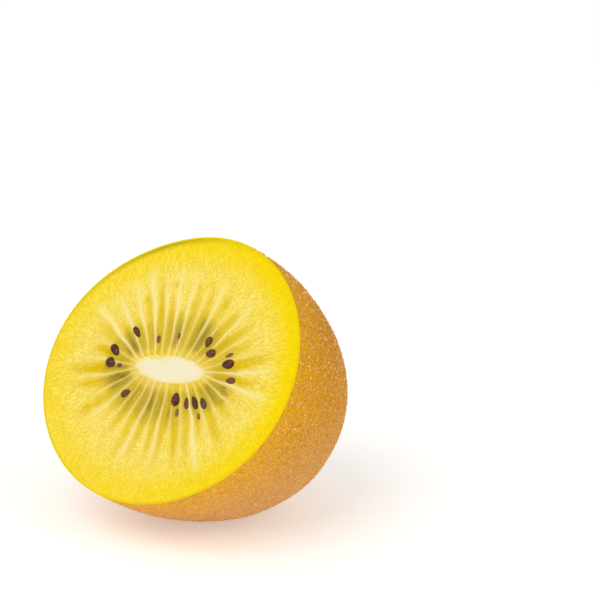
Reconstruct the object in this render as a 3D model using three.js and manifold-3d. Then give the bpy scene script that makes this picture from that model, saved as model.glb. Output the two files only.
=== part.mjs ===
// Half of a golden kiwi fruit, cut straight across and lying on its skin with the cut face tipped up.
// Millimetres, +Z up. The cut face looks along -Y and up, and the fruit rests on a flat spot at z = 0.
// The fruit is shaped in a frame of its own, with the cut at z = 0 facing +Z, x level across the cut
// and the far end of the fruit towards -Z. It grew as one piece, so it is one solid.

import * as THREE from "three";
import { mergeVertices, toCreasedNormals } from "three/addons/utils/BufferGeometryUtils.js";
import Module from "manifold-3d";

const wasm = await Module();
wasm.setup();
const degree = Math.PI / 180;
const fullTurn = 2 * Math.PI;

// The outline of the cut: an oval with slight three- and four-fold lobes, as on a grown fruit
const cutLong = 28.4; // half the oval's longer width
const cutShort = 25.4; // half its shorter width
const cutTurn = 17 * degree; // how far the longer width is turned from level
const threeLobe = { share: 0.009, turn: 69 * degree };
const fourLobe = { share: -0.007, turn: 33 * degree };

// The body behind the cut
const bodyDepth = 37.6; // from the cut to the far end, as if the end had no hollow
const bodyFullness = 2.35; // 2 is an ellipsoid, and more is fuller in the shoulder
const hollow = { depth: 2.1, radius: 6 }; // the dip round the scar at the far end
const scar = { rise: 0.7, radius: 2.6, edge: 0.5 }; // the woody button in the dip

// The cut face: a pale oval core, chambers between thin walls that run out from it like rays
const core = { long: 8.4, short: 2.75, turn: 5.5 * degree, rise: 0.3 };
const rayCount = 31;
const firstRay = 1.5 * degree; // anticlockwise from level, on the right
const rayBunching = { swing: 5.5 * degree, turn: 17.5 * degree }; // rays crowd above and below the core
const rayLean = 8 * degree; // how far a ray starts back round the core, above and below it
const chamber = { sink: 0.35, start: 0.16, full: 0.45, end: 0.7 }; // reaches from the core to the skin
const wallSharpness = 1.5;

// The seeds that the cut laid open. A place counts chambers anticlockwise from the right, a turn is in
// degrees away from the ray, and sunk is the depth of a seed's middle, as a share of half its height.
const seeds = [
  { place: 0.35, reach: 0.29, length: 2.2, width: 1.3, turn: 5, sunk: 0.35 },
  { place: 1.75, reach: 0.24, length: 2.6, width: 1.7, turn: -10, sunk: 0.2 },
  { place: 2.45, reach: 0.27, length: 1.9, width: 0.8, turn: -5, sunk: 0.5 },
  { place: 3.7, reach: 0.13, length: 2.2, width: 1.6, turn: -35, sunk: 0.25 },
  { place: 4.8, reach: 0.19, length: 2.1, width: 1.45, turn: 15, sunk: 0.3 },
  { place: 8.2, reach: 0.16, length: 1.5, width: 0.8, turn: 5, sunk: 0.5 },
  { place: 10.65, reach: 0.13, length: 1.9, width: 0.9, turn: 0, sunk: 0.4 },
  { place: 12.8, reach: 0.275, length: 2.6, width: 1.15, turn: 10, sunk: 0.2 },
  { place: 15.1, reach: 0.29, length: 2.7, width: 1.55, turn: -20, sunk: 0.2 },
  { place: 16.15, reach: 0.28, length: 2.2, width: 1.85, turn: -20, sunk: 0.2 },
  { place: 16.3, reach: 0.17, length: 1.2, width: 0.8, turn: 5, sunk: 0.4 },
  { place: 19.45, reach: 0.205, length: 2.1, width: 1.45, turn: -20, sunk: 0.3 },
  { place: 25.4, reach: 0.12, length: 2.6, width: 1.75, turn: -5, sunk: 0.2 },
  { place: 25.65, reach: 0.235, length: 1.8, width: 0.9, turn: -5, sunk: 0.5 },
  { place: 26.7, reach: 0.165, length: 2.4, width: 1.2, turn: -5, sunk: 0.35 },
  { place: 27.55, reach: 0.18, length: 2.8, width: 1.15, turn: 5, sunk: 0.2 },
  { place: 27.65, reach: 0.32, length: 1.5, width: 0.7, turn: 0, sunk: 0.5 },
  { place: 28.35, reach: 0.22, length: 2.5, width: 1.2, turn: 0, sunk: 0.3 },
];
const seedHeight = 0.8; // as a share of its width
const seedTaper = 0.2; // how much narrower its inner end is than its middle, and its outer end wider

// How it lies
const lean = 56 * degree; // the cut's turn back from level, about X
const flatSpotDepth = 0.4; // how far the fruit is pressed flat where it rests

// Mesh steps
const faceColumns = 4 * rayCount; // for each chamber a wall, two sides and a middle
const coreShares = [0.4, 0.75]; // rings inside the core's edge
const faceReaches = [0, 0.06, 0.12, 0.2, 0.3, 0.4, 0.5, 0.6, 0.7, 0.84, 1];
const bodyColumns = 3 * rayCount;
const bodyRows = 16;
const farEndRadii = [8, 6.2, 4.8, 3.8, 3.1, 2.6, 2.1, 1.2]; // rings over the hollow and the scar

const colours = { skin: "#c48f35", flesh: "#f2d43c", core: "#f6efc9", seed: "#3a2018" };
const roughness = 0.5;

// The angle at which a ray or column meets the skin, for its share of the way round
function rayAngle(share) {
  const even = share * fullTurn;
  return even + firstRay + rayBunching.swing * Math.sin(2 * (even - rayBunching.turn));
}

// The distance from the axis to the skin, at the cut
function outlineRadius(angle) {
  const oval = 1 / Math.hypot(
    Math.cos(angle - cutTurn) / cutLong,
    Math.sin(angle - cutTurn) / cutShort,
  );
  const lobes = threeLobe.share * Math.cos(3 * (angle - threeLobe.turn))
    + fourLobe.share * Math.cos(4 * (angle - fourLobe.turn));
  return oval * (1 + lobes);
}

// The point of the core's edge where the ray starts that meets the skin at this angle
function corePoint(angle) {
  const start = angle - rayLean * Math.sin(angle) ** 2;
  return new THREE.Vector2(core.long * Math.cos(start), core.short * Math.sin(start))
    .rotateAround(new THREE.Vector2(), core.turn);
}

// A point of the cut on the ray at this share, from reach 0 at the core to reach 1 at the skin
function rayPoint(share, reach) {
  const angle = rayAngle(share);
  const radius = outlineRadius(angle);
  const rim = new THREE.Vector2(radius * Math.cos(angle), radius * Math.sin(angle));
  return corePoint(angle).lerp(rim, reach);
}

// The face's height over the plane of the cut: a chamber sinks between its walls and runs out in the flesh
function rayHeight(share, reach) {
  const { smoothstep } = THREE.MathUtils;
  const wall = (0.5 + 0.5 * Math.cos(rayCount * share * fullTurn)) ** wallSharpness;
  const opens = smoothstep(reach, 0, chamber.start);
  const closes = smoothstep(reach, chamber.full, chamber.end);
  return core.rise * (1 - opens) - chamber.sink * opens * (1 - closes) * (1 - wall);
}

// The skin's height under the cut, at a share of the outline's radius
function bodyHeight(share, radius) {
  const off = share * radius;
  const shell = -bodyDepth * (1 - share * share) ** (1 / bodyFullness);
  const dip = hollow.depth * Math.exp(-((off / hollow.radius) ** 2));
  const { radius: middle, edge, rise } = scar;
  const button = rise * (1 - THREE.MathUtils.smoothstep(off, middle - edge, middle + edge));
  return shell + dip - button;
}

function ring(count, pointAt) {
  return Array.from({ length: count }, (_, i) => pointAt(i / count));
}

function bodyRing(share) {
  return ring(bodyColumns, (turn) => {
    const angle = rayAngle(turn);
    const radius = outlineRadius(angle);
    const off = share * radius;
    return new THREE.Vector3(off * Math.cos(angle), off * Math.sin(angle), bodyHeight(share, radius));
  });
}

// The rings of the solid in order: out over the face from its middle, round the rim and down to the far end
function fruitRings() {
  const coreRings = coreShares.map((share) => ring(faceColumns, (turn) => {
    const point = corePoint(rayAngle(turn)).multiplyScalar(share);
    return new THREE.Vector3(point.x, point.y, core.rise);
  }));
  const faceRings = faceReaches.map((reach) => ring(faceColumns, (turn) => {
    const point = rayPoint(turn, reach);
    return new THREE.Vector3(point.x, point.y, rayHeight(turn, reach));
  }));
  const meanRadius = Math.sqrt(cutLong * cutShort);
  const farShares = farEndRadii.map((radius) => radius / meanRadius);
  const lastRow = Math.acos(farShares[0]);
  const rowShares = Array.from(
    { length: bodyRows }, (_, i) => Math.cos(((i + 1) / (bodyRows + 1)) * lastRow));
  return [
    [new THREE.Vector3(0, 0, core.rise)],
    ...coreRings,
    ...faceRings,
    ...rowShares.map(bodyRing),
    ...farShares.map(bodyRing),
    [new THREE.Vector3(0, 0, bodyHeight(0, meanRadius))],
  ];
}

// A closed surface through the rings. Two neighbours may hold different numbers of points.
function surfaceThrough(rings) {
  const corners = [];
  rings.slice(1).forEach((outer, n) => {
    const inner = rings[n];
    const innerSteps = inner.length > 1 ? inner.length : 0;
    const outerSteps = outer.length > 1 ? outer.length : 0;
    let i = 0;
    let j = 0;
    while (i < innerSteps || j < outerSteps) {
      const start = inner[i % inner.length];
      const across = outer[j % outer.length];
      const innerIsBehind = (i + 1) * outerSteps <= (j + 1) * innerSteps;
      if (j === outerSteps || (i < innerSteps && innerIsBehind)) {
        i += 1;
        corners.push(start, across, inner[i % inner.length]);
      } else {
        j += 1;
        corners.push(start, across, outer[j % outer.length]);
      }
    }
  });
  return new THREE.BufferGeometry().setFromPoints(corners);
}

// A closed geometry as a solid
function solidFrom(geometry) {
  const bare = new THREE.BufferGeometry();
  bare.setAttribute("position", geometry.getAttribute("position"));
  bare.setIndex(geometry.index);
  const merged = mergeVertices(bare);
  return new wasm.Manifold(new wasm.Mesh({
    numProp: 3,
    vertProperties: merged.getAttribute("position").array,
    triVerts: new Uint32Array(merged.index.array),
  }));
}

// What turns and stretches the unit seed into each seed, sunk in the flesh with its narrow end inwards
function seedPoses() {
  return seeds.map(({ place, reach, length, width, turn, sunk }) => {
    const share = place / rayCount;
    const here = rayPoint(share, reach);
    const outwards = rayPoint(share, 1).sub(here).angle();
    const size = new THREE.Vector3(width / 2, length / 2, (seedHeight * width) / 2);
    const middle = new THREE.Vector3(here.x, here.y, rayHeight(share, reach) - sunk * size.z);
    const spin = new THREE.Quaternion().setFromAxisAngle(
      new THREE.Vector3(0, 0, 1), outwards - Math.PI / 2 + turn * degree);
    return new THREE.Matrix4().compose(middle, spin, size);
  });
}

// The unit seed lies along y and is narrower towards -y
function unitSeed() {
  const geometry = new THREE.SphereGeometry(1, 10, 6);
  const position = geometry.getAttribute("position");
  for (let i = 0; i < position.count; i += 1) {
    const narrowed = 1 + seedTaper * position.getY(i);
    position.setX(i, position.getX(i) * narrowed);
    position.setZ(i, position.getZ(i) * narrowed);
  }
  return geometry;
}

// What the leaning fruit is pressed down on, in the fruit's own frame
function restingSlab(solid) {
  const stand = new THREE.Matrix4().makeRotationX(lean);
  const vertices = solid.getMesh().vertProperties;
  let lowest = Infinity;
  for (let i = 0; i < vertices.length; i += 3) {
    lowest = Math.min(lowest, new THREE.Vector3().fromArray(vertices, i).applyMatrix4(stand).z);
  }
  const thickness = 10;
  const slab = new THREE.BoxGeometry(2 * cutLong, 2 * cutLong, thickness);
  slab.translate(0, 0, lowest + flatSpotDepth - thickness / 2);
  return slab.applyMatrix4(stand.invert());
}

function halfFruitSolid(poses) {
  const fruit = solidFrom(surfaceThrough(fruitRings()));
  const seeded = poses.reduce(
    (whole, pose) => whole.add(solidFrom(unitSeed().applyMatrix4(pose))), fruit);
  return seeded.subtract(solidFrom(restingSlab(seeded)));
}

// Which part of the fruit a point of its surface belongs to
function regionAt(point, seedFrames) {
  const onSeed = seedFrames.some((frame, n) => {
    const local = point.clone().applyMatrix4(frame);
    return local.z > seeds[n].sunk && local.length() < 1 + seedTaper / 2;
  });
  if (onSeed) return "seed";
  if (point.z < -chamber.sink) return "skin";
  const flat = new THREE.Vector2(point.x, point.y).rotateAround(new THREE.Vector2(), -core.turn);
  return Math.hypot(flat.x / core.long, flat.y / core.short) < 1 ? "core" : "flesh";
}

// The solid's surface, each triangle in its region's colour
function paintedGeometry(solid, poses) {
  const { vertProperties, triVerts } = solid.getMesh();
  const surface = new THREE.BufferGeometry();
  surface.setAttribute("position", new THREE.BufferAttribute(vertProperties, 3));
  surface.setIndex(new THREE.BufferAttribute(triVerts, 1));
  const geometry = toCreasedNormals(surface, 35 * degree);
  const position = geometry.getAttribute("position");
  const seedFrames = poses.map((pose) => pose.clone().invert());
  const colour = new THREE.BufferAttribute(new Float32Array(3 * position.count), 3);
  const triangle = new THREE.Triangle();
  for (let i = 0; i < position.count; i += 3) {
    triangle.setFromAttributeAndIndices(position, i, i + 1, i + 2);
    const middle = triangle.getMidpoint(new THREE.Vector3());
    const { r, g, b } = new THREE.Color(colours[regionAt(middle, seedFrames)]);
    [i, i + 1, i + 2].forEach((corner) => colour.setXYZ(corner, r, g, b));
  }
  return geometry.setAttribute("color", colour);
}

const poses = seedPoses();
const halfFruit = new THREE.Mesh(
  paintedGeometry(halfFruitSolid(poses), poses),
  new THREE.MeshStandardMaterial({ vertexColors: true, roughness, metalness: 0 }),
);
halfFruit.name = "half_fruit";
halfFruit.rotation.x = lean;

// The origin is under the middle of the fruit's box, on the surface that the fruit rests on
const kiwi = new THREE.Group();
kiwi.add(halfFruit);
const box = new THREE.Box3().setFromObject(kiwi, true);
const centre = box.getCenter(new THREE.Vector3());
halfFruit.position.set(-centre.x, -centre.y, -box.min.z);

export default kiwi;
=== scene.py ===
# Half of a golden kiwi fruit, cut face up, lying on a pale floor
import math
from math import cos, hypot, pi, sin

import bmesh
import bpy
from mathutils import Matrix, Vector, noise


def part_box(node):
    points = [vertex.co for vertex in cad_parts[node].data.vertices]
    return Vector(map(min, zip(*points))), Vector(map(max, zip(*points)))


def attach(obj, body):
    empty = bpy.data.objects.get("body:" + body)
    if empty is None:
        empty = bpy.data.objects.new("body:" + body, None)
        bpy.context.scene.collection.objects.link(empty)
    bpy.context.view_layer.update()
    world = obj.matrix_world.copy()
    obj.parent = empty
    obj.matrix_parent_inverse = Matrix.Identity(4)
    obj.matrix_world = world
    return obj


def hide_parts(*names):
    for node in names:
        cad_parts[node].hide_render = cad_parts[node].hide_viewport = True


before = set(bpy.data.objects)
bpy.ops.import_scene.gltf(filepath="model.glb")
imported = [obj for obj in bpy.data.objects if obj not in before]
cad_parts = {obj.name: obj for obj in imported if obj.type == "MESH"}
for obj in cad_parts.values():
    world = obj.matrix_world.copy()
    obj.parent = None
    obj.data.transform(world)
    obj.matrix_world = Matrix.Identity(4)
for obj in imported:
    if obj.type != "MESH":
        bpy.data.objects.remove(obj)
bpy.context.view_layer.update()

print("frame loaded")

# Shapes are worked out in millimetres in the fruit's own frame: the cut is at z = 0 and faces +Z,
# x runs level across it, and the far end of the fruit is towards -Z. standUp brings them to the scene.
fruit = {
    "cutLong": 28.4,  # half widths of the oval cut
    "cutShort": 25.4,
    "cutTurn": 17,  # degrees
    "threeLobe": (0.009, 69),  # share of the radius, and degrees
    "fourLobe": (-0.007, 33),
    "depth": 37.6,
    "fullness": 2.35,
    "hollowDepth": 2.1,
    "hollowRadius": 6.0,
    "scarRise": 0.7,
    "scarRadius": 2.6,
    "scarEdge": 0.5,
    "lean": 56,  # degrees back from level
}
rays = {
    "count": 31,
    "first": 1.5,  # degrees
    "bunchSwing": 5.5,
    "bunchTurn": 17.5,
    "lean": 8,
    "coreLong": 8.4,
    "coreShort": 2.75,
    "coreTurn": 5.5,
}


# helpers

def smooth(low, high, value):
    t = min(max((value - low) / (high - low), 0), 1)
    return t * t * (3 - 2 * t)


def bell(offset, width):
    return math.exp(-((offset / width) ** 2))


def leastPlus(pair, share):  # a pair holds the least value and how much may be added
    return pair[0] + pair[1] * share


def scatter(start):  # random numbers from 0 to 1, the same in each run
    state = start * 48271 % 2147483647
    while True:
        state = state * 48271 % 2147483647
        yield state / 2147483647


def linear(hexColour):
    channels = [int(hexColour[i : i + 2], 16) / 255 for i in (1, 3, 5)]
    return [c / 12.92 if c <= 0.04045 else ((c + 0.055) / 1.055) ** 2.4 for c in channels] + [1]


def addNode(material, kind, links=None, **settings):
    node = material.node_tree.nodes.new("ShaderNode" + kind)
    for name, value in settings.items():
        setattr(node, name, value)
    for socket, value in (links or {}).items():
        if isinstance(value, bpy.types.NodeSocket):
            material.node_tree.links.new(value, node.inputs[socket])
        else:
            node.inputs[socket].default_value = value
    return node


def mixed(material, share, under, over, blend="MIX"):  # one colour over another
    return addNode(
        material, "Mix", {"Factor": share, 6: under, 7: over}, data_type="RGBA", blend_type=blend,
    ).outputs[2]


def ramp(material, follows, start, full, least=0, most=1):
    return addNode(
        material, "MapRange",
        {"Value": follows, "From Min": start, "From Max": full, "To Min": least, "To Max": most},
    ).outputs[0]


def newMaterial(name):
    material = bpy.data.materials.new(name)
    material.use_nodes = True
    material.node_tree.nodes.clear()
    return material


# the fruit's form, by the same rules as the solid's

def rayAngle(share):
    even = share * 2 * pi
    swing = math.radians(rays["bunchSwing"]) * sin(2 * (even - math.radians(rays["bunchTurn"])))
    return even + math.radians(rays["first"]) + swing


def outlineRadius(angle):
    turned = angle - math.radians(fruit["cutTurn"])
    oval = 1 / hypot(cos(turned) / fruit["cutLong"], sin(turned) / fruit["cutShort"])
    lobes = 0
    for count, (share, turn) in ((3, fruit["threeLobe"]), (4, fruit["fourLobe"])):
        lobes += share * cos(count * (angle - math.radians(turn)))
    return oval * (1 + lobes)


def corePoint(angle):
    start = angle - math.radians(rays["lean"]) * sin(angle) ** 2
    x, y = rays["coreLong"] * cos(start), rays["coreShort"] * sin(start)
    turn = math.radians(rays["coreTurn"])
    return Vector((x * cos(turn) - y * sin(turn), x * sin(turn) + y * cos(turn)))


def cutPoint(share, reach):  # reach -1 is the core's middle, 0 its edge and 1 the skin
    angle = rayAngle(share)
    start = corePoint(angle)
    if reach < 0:
        return start * (1 + reach)
    rim = Vector((cos(angle), sin(angle))) * outlineRadius(angle)
    return start.lerp(rim, reach)


def skinHeight(share, radius):
    off = share * radius
    shell = -fruit["depth"] * (1 - min(share, 1) ** 2) ** (1 / fruit["fullness"])
    dip = fruit["hollowDepth"] * bell(off, fruit["hollowRadius"])
    low, high = fruit["scarRadius"] - fruit["scarEdge"], fruit["scarRadius"] + fruit["scarEdge"]
    return shell + dip - fruit["scarRise"] * (1 - smooth(low, high, off))


lean = Matrix.Rotation(math.radians(fruit["lean"]), 4, "X")


def findStand():  # moves the leaning fruit to where the solid stands
    columns, rings = 720, 200
    low, high = Vector((1e9,) * 3), Vector((-1e9,) * 3)
    for column in range(columns):
        angle = column * 2 * pi / columns
        radius = outlineRadius(angle)
        for ring in range(rings):
            share = sin(ring * pi / (2 * (rings - 1)))
            off = share * radius
            place = lean @ Vector((off * cos(angle), off * sin(angle), skinHeight(share, radius)))
            low = Vector(map(min, low, place))
            high = Vector(map(max, high, place))
    solidLow, solidHigh = (corner * 1000 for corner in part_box("half_fruit"))
    shift = (solidLow + solidHigh) / 2 - (low + high) / 2
    shift.z = solidHigh.z - high.z
    return Matrix.Scale(0.001, 4) @ Matrix.Translation(shift) @ lean


standUp = findStand()
print("stand", [round(v * 1000, 3) for v in standUp.translation])


# x runs from 0 to 1 round the fruit, y counts rings, and makeSkin and makeFlesh wrap it
def unrolledStrip(columns, rings):
    bm = bmesh.new()
    bmesh.ops.create_grid(bm, x_segments=columns, y_segments=rings, size=0.5)
    bmesh.ops.translate(bm, verts=bm.verts, vec=(0.5, 0.5, 0))
    bmesh.ops.scale(bm, verts=bm.verts, vec=(1, rings, 1))
    return bm


def mergeSeam(bm):  # the strip's two ends, and the rings that are one point
    bmesh.ops.remove_doubles(bm, verts=bm.verts, dist=1e-7)


def asMesh(bm, name):
    mesh = bpy.data.meshes.new(name)
    bm.to_mesh(mesh)
    bm.free()
    return mesh


def finishPiece(bm, name, material, creaseAngle=50, closed=True):
    mergeSeam(bm)
    if closed:
        bmesh.ops.recalc_face_normals(bm, faces=bm.faces)
    for part in bm.faces:
        part.smooth = True
    mesh = asMesh(bm, name)
    mesh.set_sharp_from_angle(angle=math.radians(creaseAngle))
    mesh.materials.append(material)
    piece = bpy.data.objects.new(name, mesh)
    bpy.context.scene.collection.objects.link(piece)
    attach(piece, "root")
    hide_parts("half_fruit")
    print(name, len(mesh.polygons), "faces")


# skin

skin = {
    "columns": 400,
    "rings": 84,
    "thickness": 0.3,
    "uneven": 0.3,  # mm, of swells about 11 mm wide
    "swellScale": 2.6,
    "pebble": 0.05,  # mm, of pebbles about 1.5 mm wide
    "pebbleScale": 17,
    "crackDepth": 0.35,  # of the scar's dry wood
    "crackScale": 1.4,
    "cracksEnd": (2.0, 3.4),  # mm off the axis
}


def skinSwell(direction, fromCut):
    broad = skin["uneven"] * noise.noise(direction * skin["swellScale"] + Vector((3, 1, 7)))
    fine = skin["pebble"] * noise.noise(direction * skin["pebbleScale"])
    return broad * smooth(0, 6, fromCut) + fine * smooth(0, 1, fromCut)  # none at the cut itself


def skinPoint(share, turn):  # turn runs from 0 at the cut to a quarter turn at the far end
    angle = rayAngle(share)
    radius = outlineRadius(angle)
    inner = cos(turn)
    height = skinHeight(inner, radius)
    off = inner * radius
    direction = Vector((cos(angle) * inner, sin(angle) * inner, -sin(turn)))
    swell = skinSwell(direction, -height)
    scale = skin["crackScale"]
    cracks = noise.noise(Vector((cos(angle) * off * scale, sin(angle) * off * scale, 6)))
    height -= skin["crackDepth"] * cracks * (1 - smooth(*skin["cracksEnd"], off))
    flat = off + swell * inner
    return Vector((cos(angle) * flat, sin(angle) * flat, height - swell * sin(turn)))


def makeSkin(material):
    bm = unrolledStrip(skin["columns"], skin["rings"])
    fromCut = bm.verts.layers.float.new("fromCut")
    offAxis = bm.verts.layers.float.new("offAxis")
    for vert in bm.verts:
        point = skinPoint(vert.co.x % 1, vert.co.y / skin["rings"] * pi / 2)
        vert[fromCut] = -point.z
        vert[offAxis] = hypot(point.x, point.y)
        vert.co = standUp @ point
        vert.co.z = max(vert.co.z, 0)
    mergeSeam(bm)
    bmesh.ops.recalc_face_normals(bm, faces=bm.faces)
    inside = standUp @ Vector((0, 0, -fruit["depth"] / 3))
    if sum(part.normal.dot(part.calc_center_median() - inside) for part in bm.faces) < 0:
        bmesh.ops.reverse_faces(bm, faces=bm.faces)
    bmesh.ops.solidify(bm, geom=bm.faces[:], thickness=skin["thickness"] / 1000)
    finishPiece(bm, "fruitSkin", material, closed=False)


specks = {
    "grains": 9000,
    "grainStart": 7,
    "grainSize": (0.16, 0.19, 0.12),  # half sizes
    "hairs": 1400,
    "hairStart": 23,
    "hairRadii": (0.035, 0.012),
    "hairLength": 0.4,
    "hairLift": 0.17,  # of its middle, so that the foot stays in the skin
    "hairTilt": 60,  # degrees
    "golden": 0.618034,  # of a turn from one to the next, which spreads them evenly
    "shifts": (0.012, 3),  # of a turn round the fruit, and in numbers along it
    "gathered": 1.15,  # over 1, more of them near the cut
    "sizes": (0.55, 0.75),  # the least, and how much may be added
    "lowSizes": (0.68, 0.47),  # the share underneath, and what is added to it further up
    "lowHeights": (0.01, 0.034),  # in metres in the scene
    "clearOfCut": 0.7,  # mm below it
    "clearOfFloor": 0.0007,  # in metres in the scene
    "clearOfScar": 3.2,  # mm off the axis
}


# Copies of one small shape stand on the skin, each turned and sized by the draw.
def makeSpecks(name, count, start, shape, material, tilt=0):
    draw = scatter(start)
    shiftRound, shiftAlong = specks["shifts"]
    bm = bmesh.new()
    for number in range(count):
        share = (number * specks["golden"] + shiftRound * next(draw)) % 1
        along = (number + shiftAlong * next(draw)) / count
        turn = math.asin(min(along ** specks["gathered"], 1))
        size = leastPlus(specks["sizes"], next(draw))
        spin = 2 * pi * next(draw)
        tilted = math.radians(tilt) * (0.6 + 0.4 * next(draw))
        here = skinPoint(share, turn)
        step = 0.002
        beside = skinPoint(share + step, turn) - here
        below = skinPoint(share, turn + step) - here
        normal = beside.cross(below).normalized()
        if normal.dot(Vector((here.x, here.y, here.z / 2))) < 0:
            normal.negate()
        place = standUp @ here
        size *= leastPlus(specks["lowSizes"], smooth(*specks["lowHeights"], place.z))
        if here.z > -specks["clearOfCut"] or place.z < specks["clearOfFloor"]:
            continue
        if hypot(here.x, here.y) < specks["clearOfScar"]:
            continue
        upright = normal.to_track_quat("Z", "Y").to_matrix().to_4x4()
        turned = Matrix.Rotation(spin, 4, "Z") @ Matrix.Rotation(tilted, 4, "X")
        one = shape.copy()
        one.transform(standUp @ Matrix.Translation(here) @ upright @ turned @ Matrix.Scale(size, 4))
        bm.from_mesh(one)
        bpy.data.meshes.remove(one)
    bpy.data.meshes.remove(shape)
    finishPiece(bm, name, material, creaseAngle=80, closed=False)


def grainShape():  # a low oval pimple, half sunk
    bm = bmesh.new()
    bmesh.ops.create_icosphere(bm, subdivisions=1, radius=1)
    bmesh.ops.scale(bm, verts=bm.verts, vec=specks["grainSize"])
    return asMesh(bm, "grain")


def hairShape():  # a short broken hair, its foot in the skin
    bm = bmesh.new()
    foot, tip = specks["hairRadii"]
    bmesh.ops.create_cone(
        bm, cap_ends=True, segments=4, radius1=foot, radius2=tip, depth=specks["hairLength"],
    )
    bmesh.ops.translate(bm, verts=bm.verts, vec=(0, 0, specks["hairLift"]))
    return asMesh(bm, "hair")


# flesh

flesh = {
    "columns": 20 * rays["count"],
    "faceRings": 100,
    "sideRings": 30,
    "skinGap": 0.15,  # mm kept free for the skin at the rim
    "deepGap": 0.1,  # and what is added to it further in
    "coreRise": 0.15,
    "chamberSink": 0.22,
    "chamberOpens": (0, 0.16),  # reaches
    "chamberCloses": (0.45, 0.7),
    "cellRelief": 0.02,
    "rimDrop": 0.05,
    "reachLength": 20,  # mm from the core to the skin, near enough for dots and smears
    # the tints; "and more" marks a pair of the least value and how much may be added
    "edgeShift": 0.05,  # reach, how uneven the edges of the tints are
    "wallWidth": 0.17,  # half width at the core
    "wallWidens": 2.6,  # what is added to that times, from reach 0.1 to 0.7
    "wallWander": 0.15,  # in chambers
    "wallStrength": (0.58, 0.44),  # and more
    "wallFades": ((0.5, 0.16), (0.76, 0.14)),  # reaches from and to, each and more
    "wallFlank": (0.66, 1.35),  # share of the tint, and of the width
    "wallMiddle": (0.34, 0.4),
    "tongueEnds": (0.6, 0.16),  # reach and more
    "tongueWidth": (1.25, -0.45),  # and more, which is less further out
    "tongueAside": 0.3,
    "tongueEdge": (0.4, 1.25),  # from full to none
    "goldStarts": (-0.14, 0),  # from none to full
    "goldSideways": 0.15,  # deeper to the left and right
    "goldBetween": 0.38,  # between the tongues there
    "dotShare": 0.75,  # of the chambers
    "dotReach": (0.48, 0.14),  # and more
    "dotSize": (0.5, 0.6),  # mm across and along
    "rimStarts": (0.6, 0.95),  # from none to full
    "rimStrength": (0.84, 0.2),  # and more
    "rimBrightest": 0.45,  # radians
    "greenEdge": (10.5, 3.4),  # place and width
    "gelStarts": (0.02, 0.1),
    "gelEnds": (0.22, 0.42),
    "coreEdge": (-0.3, 0.1),
    "gelPatches": (  # place, width and strength
        (5.7, 1.1, 0.9), (8.4, 0.9, 0.6), (13.6, 0.8, 0.8), (17.5, 1.7, 1.0), (20.4, 0.9, 0.7),
        (22.6, 1.5, 0.8), (25.0, 1.2, 0.5), (27.4, 1.2, 0.5), (29.6, 1.3, 0.9),
    ),
    "coreBites": ((10.8, 2.0, 0.28), (27.2, 1.6, 0.06)),  # the same, and how far the core draws back
    "smears": (  # place, reach, length in mm and strength of dark threads and hidden seeds
        (22.6, 0.19, 1.6, 0.8), (24.8, 0.25, 1.8, 0.5), (30.3, 0.29, 1.6, 1.0), (30.6, 0.26, 1.8, 0.8),
        (29.8, 0.33, 1.4, 0.5), (17.7, 0.13, 2.0, 0.9), (17.3, 0.2, 2.2, 0.7), (18.2, 0.25, 2.0, 0.5),
        (6.2, 0.3, 2.6, 0.7), (5.6, 0.24, 3.2, 0.7), (5.9, 0.17, 2.4, 0.6), (13.6, 0.16, 2.0, 0.6),
        (14.4, 0.14, 1.8, 0.6), (21.9, 0.17, 2.0, 0.5), (8.3, 0.24, 1.8, 0.4), (1.0, 0.33, 1.3, 0.4),
    ),
}


def ownValue(number, row):  # a chamber's or a wall's own value from 0 to 1
    return noise.cell(Vector((number % rays["count"] + 0.5, row + 0.5, 0.5)))


def chamberWidth(share, reach):
    step = 0.25 / flesh["columns"]
    across = cutPoint(share + step, reach) - cutPoint(share - step, reach)
    return across.length / (2 * step * rays["count"])


def columnLine(share):  # where a column leaves the core and meets the skin, and a chamber's width there
    rim = cutPoint(share, 1)
    rim *= 1 - flesh["skinGap"] / rim.length
    return cutPoint(share, 0), rim, chamberWidth(share, 0), chamberWidth(share, 1)


def placesApart(place, other):  # in chambers, the short way round
    return (place - other + rays["count"] / 2) % rays["count"] - rays["count"] / 2


def wallAt(place, reach, width):
    strongest = 0
    for wall in (math.floor(place), math.floor(place) + 1):
        own = ownValue(wall, 3)
        wander = flesh["wallWander"] * noise.noise(Vector((wall % rays["count"] * 5.3, reach * 4.5, 2)))
        beside = (place - wall - wander) * width
        halfWidth = flesh["wallWidth"] * (1 + flesh["wallWidens"] * smooth(0.1, 0.7, reach))
        fadeStart, fadeEnd = (leastPlus(pair, own) for pair in flesh["wallFades"])
        strength = leastPlus(flesh["wallStrength"], own) * (1 - smooth(fadeStart, fadeEnd, reach))
        strength *= 0.65 + 0.35 * smooth(0, 0.3, reach)  # fainter at the core
        strength *= 1 - 0.3 * smooth(0.35, 0.7, reach)
        profile = 0
        for share, wide in (flesh["wallFlank"], flesh["wallMiddle"]):
            profile += share * bell(beside, wide * halfWidth)
        strongest = max(strongest, strength * profile)
    return strongest


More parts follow.
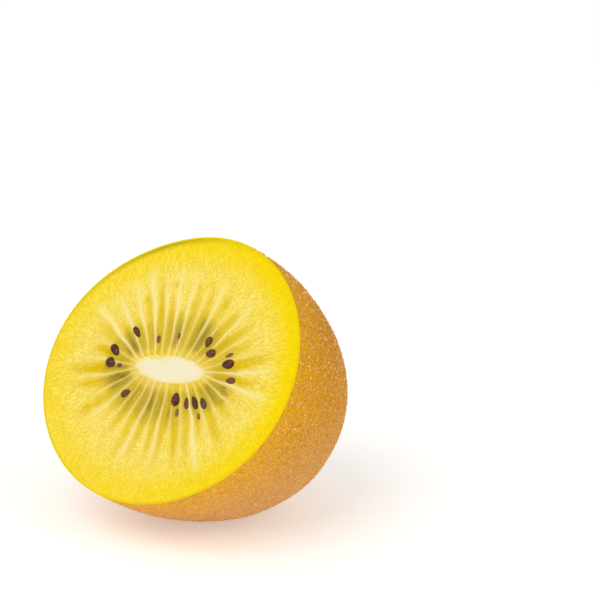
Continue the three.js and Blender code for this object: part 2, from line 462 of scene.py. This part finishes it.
# A golden tongue fills each chamber, narrows outwards and ends round.
def goldAt(chamber, across, reach, angle, streak, shift):
    ends = leastPlus(flesh["tongueEnds"], ownValue(chamber, 7)) + shift
    narrowed = leastPlus(flesh["tongueWidth"], smooth(0.15, 0.6, reach))
    aside = across - flesh["tongueAside"] * (ownValue(chamber, 5) - 0.5) * smooth(0.2, 0.5, reach)
    tongue = 1 - smooth(*flesh["tongueEdge"], hypot(aside / narrowed, (max(reach, 0) / ends) ** 2))
    gold = tongue * smooth(*flesh["goldStarts"], reach)
    gold *= (0.92 + 0.3 * streak) * (0.8 + 0.2 * ownValue(chamber, 9))
    gold = min(gold * (1 + flesh["goldSideways"] * cos(2 * angle)), 1)
    rest = flesh["goldBetween"] * smooth(0.1, 0.28, reach) * (1 - smooth(0.4, 0.68, reach))
    return max(gold, rest * cos(angle) ** 2)


def gelAt(place, across, reach, streak, shift):  # clear and greenish round the seeds
    gel = 0
    for middle, spread, strength in flesh["gelPatches"]:
        gel = max(gel, strength * bell(placesApart(place, middle), spread))
    gel = (0.35 + 0.65 * gel) * smooth(*flesh["gelStarts"], reach)
    gel *= 1 - smooth(*flesh["gelEnds"], reach + shift)
    return max(gel * (1 - 0.5 * across ** 2) * (0.85 + 0.6 * streak), 0)


def coreAt(place, reach, wall, streak):  # with a frayed edge that runs out along the walls
    edge = 0.08 * noise.noise(Vector((place * 0.9, 4.2, 9))) + 0.06 * streak + 0.03 * wall
    edge += 0.06 * noise.noise(Vector((place * 3.1, 1.7, 4)))
    for middle, spread, depth in flesh["coreBites"]:
        edge -= depth * bell(placesApart(place, middle), spread)
    full, ends = flesh["coreEdge"]
    core = 1 - smooth(full + edge, ends + edge, reach)
    return max(core, 0.6 * wall * (1 - smooth(0.02, 0.14, reach)))


def dotAt(chamber, place, reach, width):  # a bright dot halfway out in most chambers
    if ownValue(chamber, 19) <= 1 - flesh["dotShare"]:
        return 0
    beside = (place - chamber - 0.5 - 0.5 * (ownValue(chamber, 13) - 0.5)) * width
    along = (reach - leastPlus(flesh["dotReach"], ownValue(chamber, 17))) * flesh["reachLength"]
    wide, long = flesh["dotSize"]
    return bell(beside, wide) * bell(along, long)


def smearAt(place, reach, width):
    smear = 0
    for middle, middleReach, length, strength in flesh["smears"]:
        beside = placesApart(place, middle) * width
        along = (reach - middleReach) * flesh["reachLength"]
        smear = max(smear, strength * bell(beside, 0.45) * bell(along, length / 2))
    return smear


def paintFace(place, reach, width, point):  # the share of each tint at a point of the cut
    chamber = math.floor(place)
    across = 2 * (place - chamber - 0.5)
    angle = math.atan2(point.y, point.x)
    streak = noise.noise(Vector((place * 7, reach * 3, 11)))
    shift = flesh["edgeShift"] * noise.noise(Vector((point.x * 0.45, point.y * 0.45, 5)))
    wall = wallAt(place, reach, width)
    rim = smooth(*flesh["rimStarts"], reach + shift)
    greenPlace, greenWidth = flesh["greenEdge"]
    return {
        "wall": wall,
        "gold": goldAt(chamber, across, reach, angle, streak, shift),
        "gel": gelAt(place, across, reach, streak, shift),
        "core": coreAt(place, reach, wall, streak),
        "rim": rim * leastPlus(flesh["rimStrength"], cos(angle - flesh["rimBrightest"])),
        "green": smooth(0.93, 1, reach) * bell(placesApart(place, greenPlace), greenWidth),
        "dot": dotAt(chamber, place, reach, width),
        "smear": smearAt(place, reach, width),
    }


def makeFlesh(material):
    rings = flesh["faceRings"] + flesh["sideRings"]
    bm = unrolledStrip(flesh["columns"], rings)
    tints = ("wall", "gold", "gel", "core", "rim", "green", "dot", "smear")
    layers = {name: bm.verts.layers.float.new(name) for name in tints}
    uv = bm.loops.layers.uv.new("rays")
    for part in bm.faces:
        for loop in part.loops:
            loop[uv].uv = (loop.vert.co.x, loop.vert.co.y / rings)
    lines = [columnLine(column / flesh["columns"]) for column in range(flesh["columns"])]
    for vert in bm.verts:
        column, ring = round(vert.co.x * flesh["columns"]) % flesh["columns"], round(vert.co.y)
        share = column / flesh["columns"]
        if ring <= flesh["faceRings"]:
            start, rim, startWidth, rimWidth = lines[column]
            reach = 2 * ring / flesh["faceRings"] - 1
            point = start.lerp(rim, reach) if reach > 0 else start * (1 + reach)
            width = startWidth + (rimWidth - startWidth) * max(reach, 0)
            paint = paintFace(share * rays["count"], reach, width, point)
            for name, value in paint.items():
                vert[layers[name]] = value
            opens = smooth(*flesh["chamberOpens"], reach)
            closes = smooth(*flesh["chamberCloses"], reach)
            height = flesh["coreRise"] * (1 - opens)
            height -= flesh["chamberSink"] * opens * (1 - closes) * (1 - paint["wall"])
            height += flesh["cellRelief"] * noise.noise(Vector((point.x * 2.1, point.y * 2.1, 1)))
            height -= flesh["rimDrop"] * smooth(0.985, 1, reach)
            inner = Vector((point.x, point.y, height))
        else:
            turn = (ring - flesh["faceRings"]) / flesh["sideRings"] * pi / 2
            vert[layers["rim"]] = 1
            outer = skinPoint(share, turn)
            gap = flesh["skinGap"] + flesh["deepGap"] * smooth(0, 0.3, turn)
            inner = outer * (1 - gap / outer.length)
        vert.co = standUp @ inner
        vert.co.z = max(vert.co.z, flesh["skinGap"] / 1000)
    finishPiece(bm, "fruitFlesh", material)


# seeds

seeds = {
    # place, reach, length, width, turn in degrees, how deep the middle lies, and the film over it
    "laid": (
        (0.35, 0.29, 2.2, 1.3, 5, 0.35, 0.2),
        (1.75, 0.24, 2.6, 1.7, -10, 0.2, 0),
        (2.45, 0.27, 1.9, 0.8, -5, 0.5, 0.45),
        (3.7, 0.13, 2.2, 1.6, -35, 0.25, 0.1),
        (4.8, 0.19, 2.1, 1.45, 15, 0.3, 0.1),
        (8.2, 0.16, 1.5, 0.8, 5, 0.5, 0.4),
        (10.65, 0.13, 1.9, 0.9, 0, 0.4, 0.3),
        (12.8, 0.275, 2.6, 1.15, 10, 0.2, 0),
        (15.1, 0.29, 2.7, 1.55, -20, 0.2, 0),
        (16.15, 0.28, 2.2, 1.85, -20, 0.2, 0),
        (16.3, 0.17, 1.2, 0.8, 5, 0.4, 0.2),
        (19.45, 0.205, 2.1, 1.45, -20, 0.3, 0.1),
        (25.4, 0.12, 2.6, 1.75, -5, 0.2, 0),
        (25.65, 0.235, 1.8, 0.9, -5, 0.5, 0.5),
        (26.7, 0.165, 2.4, 1.2, -5, 0.35, 0.12),
        (27.55, 0.18, 2.8, 1.15, 5, 0.2, 0),
        (27.65, 0.32, 1.5, 0.7, 0, 0.5, 0.5),
        (28.35, 0.22, 2.5, 1.2, 0, 0.3, 0.15),
    ),
    "height": 0.8,  # share of the width
    "taper": 0.2,  # narrower at the inner end
    "grow": 1.07,  # makes up for the solid's coarse facets
}


def makeSeeds(material):
    bm = bmesh.new()
    film = bm.verts.layers.float.new("film")
    for place, reach, length, width, turn, sunk, covered in seeds["laid"]:
        share = place / rays["count"]
        here = cutPoint(share, reach)
        outwards = cutPoint(share, 1) - here
        spin = math.atan2(outwards.y, outwards.x) - pi / 2 + math.radians(turn)
        halfHeight = seeds["height"] * width / 2
        height = -flesh["chamberSink"] * smooth(*flesh["chamberOpens"], reach) - sunk * halfHeight
        size = Matrix.Scale(seeds["grow"], 4) @ Matrix.Diagonal((width / 2, length / 2, halfHeight, 1))
        lay = Matrix.Translation((here.x, here.y, height)) @ Matrix.Rotation(spin, 4, "Z") @ size
        made = bmesh.ops.create_uvsphere(bm, u_segments=20, v_segments=12, radius=1)["verts"]
        for vert in made:
            narrowed = 1 + seeds["taper"] * vert.co.y
            vert.co.x *= narrowed
            vert.co.z *= narrowed
            vert[film] = covered
        bmesh.ops.transform(bm, matrix=standUp @ lay, verts=made)
    finishPiece(bm, "seeds", material)


# materials

# The cut flesh is moist and lets light in a little way, so its tints are soft and glow at the rim.
def moistFlesh():
    material = newMaterial("moistYellowFlesh")
    place = addNode(material, "TexCoord")
    where = place.outputs["Object"]
    # cells about 0.3 mm wide
    cells = addNode(material, "TexNoise", {"Vector": where, "Scale": 3200, "Detail": 2, "Roughness": 0.6})
    patch = addNode(material, "TexNoise", {"Vector": where, "Scale": 330, "Detail": 2})
    # fibres run out from the core, 14 to a chamber
    stretch = addNode(
        material, "Mapping", {"Vector": place.outputs["UV"], "Scale": (rays["count"] * 14, 30, 1)},
    )
    fibres = addNode(material, "TexNoise", {"Vector": stretch.outputs[0], "Scale": 1, "Detail": 2})
    colour = linear("#f5d640")
    # a pattern, the range of it that shows, the most that shows, and the tint
    patterns = (
        (patch, 0.3, 0.7, 1, "#f8de62"),
        (fibres, 0.46, 0.72, 0.4, "#fff0a0"),
        (cells, 0.5, 0.74, 0.5, "#fff4a8"),
        (cells, 0.48, 0.28, 0.45, "#eec800"),
    )
    for pattern, start, full, most, tint in patterns:
        share = ramp(material, pattern.outputs["Fac"], start, full, most=most)
        colour = mixed(material, share, colour, linear(tint))
    threads = ramp(material, fibres.outputs["Fac"], 0.4, 0.62)
    tints = (
        ("rim", "#f8d800"), ("green", "#b4a400"), ("gold", "#e2be00"), ("gel", "#a68c2e"),
        ("dot", "#d8c400"), ("smear", "#54452c"), ("wall", "#faeaa4"), ("core", "#f2e8c5"),
    )
    for name, tint in tints:
        share = addNode(material, "Attribute", attribute_name=name).outputs["Fac"]
        if name == "smear":  # broken up into threads
            share = addNode(material, "Math", {0: share, 1: threads}, operation="MULTIPLY").outputs[0]
        colour = mixed(material, share, colour, linear(tint))
        if name == "dot":  # the cells are uneven in all but the walls and the core
            for pattern, least, most in ((cells, 0.91, 1.06), (fibres, 0.93, 1.05)):
                light = ramp(material, pattern.outputs["Fac"], 0.3, 0.7, least, most)
                colour = mixed(material, 1, colour, light, "MULTIPLY")
    bump = addNode(material, "Bump", {"Height": cells.outputs["Fac"], "Strength": 0.15, "Distance": 0.0002})
    surface = addNode(material, "BsdfPrincipled", {
        "Base Color": colour, "Roughness": 0.4, "IOR": 1.36, "Specular IOR Level": 0.1,
        "Subsurface Weight": 0.35, "Subsurface Radius": (1, 0.6, 0.15), "Subsurface Scale": 0.0005,
        "Normal": bump.outputs["Normal"],
    })
    addNode(material, "OutputMaterial", {"Surface": surface.outputs[0]})
    return material


# The skin is thin, dry and leathery, with a dull gloss and paler flecks where its hairs stood.
def leatherySkin():
    material = newMaterial("thinBrownSkin")
    where = addNode(material, "TexCoord").outputs["Object"]
    patch = addNode(material, "TexNoise", {"Vector": where, "Scale": 110, "Detail": 5, "Roughness": 0.65})
    grain = addNode(material, "TexNoise", {"Vector": where, "Scale": 2600, "Detail": 3, "Roughness": 0.6})
    blotch = addNode(material, "TexNoise", {"Vector": where, "Scale": 1300, "Detail": 2})
    flecks = addNode(material, "TexVoronoi", {"Vector": where, "Scale": 2000, "Randomness": 1})
    height = addNode(material, "SeparateXYZ", {"Vector": where}).outputs["Z"]
    fromCut = addNode(material, "Attribute", attribute_name="fromCut").outputs["Fac"]
    offAxis = addNode(material, "Attribute", attribute_name="offAxis").outputs["Fac"]
    colour = linear("#c48c06")
    # what a tint follows, where it starts and is full, the most that shows, and the tint
    tints = (
        (patch.outputs["Fac"], 0.3, 0.7, 1, "#da9c2c"),
        (height, 0.026, 0.004, 0.7, "#d0a878"),  # duller underneath
        (height, 0.02, 0.036, 0.7, "#c88400"),  # deeper orange towards the top
        (fromCut, 13, 0, 0.8, "#e8ac00"),
        (blotch.outputs["Fac"], 0.47, 0.6, 0.55, "#d88c42"),
        (flecks.outputs["Distance"], 0.42, 0.15, 0.6, "#f0b266"),
    )
    for follows, start, full, most, tint in tints:
        colour = mixed(material, ramp(material, follows, start, full, most=most), colour, linear(tint))
    light = ramp(material, grain.outputs["Fac"], 0.35, 0.65, 0.73, 1.22)
    colour = mixed(material, 1, colour, light, "MULTIPLY")
    colour = mixed(material, ramp(material, fromCut, 0.25, 0.05), colour, linear("#f0d000"))  # the cut edge
    farEnd = addNode(material, "Math", {0: fromCut, 1: 30}, operation="GREATER_THAN").outputs[0]
    scar = ramp(material, offAxis, 3.2, 1.6, most=farEnd)
    colour = mixed(material, scar, colour, linear("#5a3416"))
    bump = addNode(material, "Bump", {"Height": grain.outputs["Fac"], "Strength": 0.5, "Distance": 0.0003})
    surface = addNode(material, "BsdfPrincipled", {
        "Base Color": colour, "Roughness": 0.6, "IOR": 1.45, "Specular IOR Level": 0.03,
        "Normal": bump.outputs["Normal"],
    })
    addNode(material, "OutputMaterial", {"Surface": surface.outputs[0]})
    return material


# Dry hair bases and short broken hairs, pale orange points whose paler tint is partly their own colour and
# partly painted highlight.
def paleHair():
    material = newMaterial("paleOrangeHair")
    where = addNode(material, "TexCoord").outputs["Object"]
    patch = addNode(material, "TexNoise", {"Vector": where, "Scale": 700, "Detail": 1})
    # the pale peach share is partly painted highlight on the grains and hairs
    pale = ramp(material, patch.outputs["Fac"], 0.35, 0.6)
    surface = addNode(material, "BsdfPrincipled", {
        "Base Color": mixed(material, pale, linear("#d08a1c"), linear("#ffc67c")),
        "Roughness": 0.45, "IOR": 1.5, "Specular IOR Level": 0.1,
    })
    addNode(material, "OutputMaterial", {"Surface": surface.outputs[0]})
    return material


# A seed's coat is smooth, hard and dark, and wet from the flesh, so it shows a small soft highlight.
def seedCoat():
    material = newMaterial("darkSeedCoat")
    where = addNode(material, "TexCoord").outputs["Object"]
    patch = addNode(material, "TexNoise", {"Vector": where, "Scale": 1500, "Detail": 3, "Roughness": 0.7})
    mottle = ramp(material, patch.outputs["Fac"], 0.35, 0.65)
    coat = mixed(material, mottle, linear("#2c180c"), linear("#743c1c"))
    film = addNode(material, "Attribute", attribute_name="film").outputs["Fac"]
    surface = addNode(material, "BsdfPrincipled", {
        "Base Color": mixed(material, film, coat, linear("#9c8050")),
        "Roughness": 0.38, "IOR": 1.45, "Specular IOR Level": 0.3,
    })
    addNode(material, "OutputMaterial", {"Surface": surface.outputs[0]})
    return material


makeFlesh(moistFlesh())
makeSkin(leatherySkin())
hair = paleHair()
makeSpecks("skinGrains", specks["grains"], specks["grainStart"], grainShape(), hair)
makeSpecks("skinHairs", specks["hairs"], specks["hairStart"], hairShape(), hair, specks["hairTilt"])
makeSeeds(seedCoat())
print("fruit made")


# the studio, in metres and degrees, where a turn runs round from -Y towards +X

studio = {
    "turn": 41.2,
    "rise": 18,
    "distance": 0.7,
    "aside": 0.0235,
    "above": 0.0125,
    "lens": 233.1,  # mm
    "floorRadius": 8,
    "lights": (  # name, turn, rise, distance, size and power
        ("key", 5, 50, 1.2, 0.9, 5),
        ("fill", 95, 25, 1.2, 0.9, 2),
    ),
    "sky": 0.62,
}


def makeFloor():
    bm = bmesh.new()
    bmesh.ops.create_circle(bm, cap_ends=True, segments=96, radius=studio["floorRadius"])
    mesh = asMesh(bm, "paleFloor")
    material = newMaterial("whiteLightTable")
    surface = addNode(material, "BsdfPrincipled", {
        "Base Color": linear("#f4f4f2"), "Roughness": 0.8,
        "Emission Color": linear("#ffffff"), "Emission Strength": 0.3,
    })
    addNode(material, "OutputMaterial", {"Surface": surface.outputs[0]})
    mesh.materials.append(material)
    floor = bpy.data.objects.new("paleFloor", mesh)
    bpy.context.scene.collection.objects.link(floor)


def wayBack(turn, rise):  # from the fruit towards a light or the camera
    turn, rise = math.radians(turn), math.radians(rise)
    return Vector((sin(turn) * cos(rise), -cos(turn) * cos(rise), sin(rise)))


def addLight(name, turn, rise, distance, size, power, aim):
    lamp = bpy.data.lights.new(name, "AREA")
    lamp.shape = "DISK"
    lamp.size = size
    lamp.energy = power
    light = bpy.data.objects.new(name, lamp)
    back = wayBack(turn, rise)
    light.location = aim + back * distance
    light.rotation_euler = back.to_track_quat("Z", "Y").to_euler()
    bpy.context.scene.collection.objects.link(light)


def makeCamera(aim):
    turn = math.radians(studio["turn"])
    back = wayBack(studio["turn"], studio["rise"])
    right = Vector((cos(turn), sin(turn), 0))
    above = back.cross(right)
    data = bpy.data.cameras.new("camera")
    data.lens = studio["lens"]
    data.clip_start = 0.01
    camera = bpy.data.objects.new("camera", data)
    place = Matrix((right, above, back)).transposed().to_4x4()
    place.translation = aim + back * studio["distance"] + right * studio["aside"] + above * studio["above"]
    camera.matrix_world = place
    bpy.context.scene.collection.objects.link(camera)
    bpy.context.scene.camera = camera


cutCentre = standUp.translation
makeFloor()
for light in studio["lights"]:
    addLight(*light, cutCentre)
makeCamera(cutCentre)
world = bpy.data.worlds.new("studio")
world.use_nodes = True
sky = world.node_tree.nodes["Background"]
sky.inputs["Color"].default_value = (1, 1, 1, 1)
sky.inputs["Strength"].default_value = studio["sky"]
bpy.context.scene.world = world
bpy.context.scene.view_settings.view_transform = "Standard"
print("studio made")
